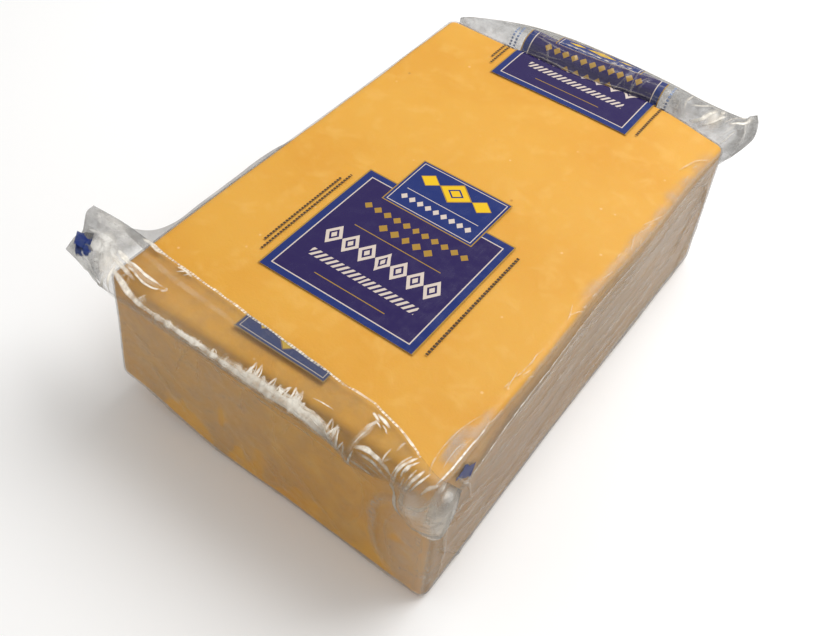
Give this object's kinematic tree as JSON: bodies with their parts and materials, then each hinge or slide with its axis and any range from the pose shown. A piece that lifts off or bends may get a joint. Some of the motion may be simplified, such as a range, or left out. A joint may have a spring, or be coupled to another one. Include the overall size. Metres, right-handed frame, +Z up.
{
  "type": "cheddar block",
  "caption": "Large oblong loaf of cheddar sealed in a clear printed film bag, one flat bag end folded over its top.",
  "frame": {"origin": "centre of the loaf's flat base", "axes": "+Y along the loaf's length away from the folded bag end, +Z up"},
  "size_m": [0.2236, 0.3073, 0.0927],
  "materials": {
    "film_over_cheese": "glossy clear film over orange cheese"
  },
  "bodies": {
    "root": {"bagged_cheddar": "film_over_cheese"}
  },
  "joints": []
}
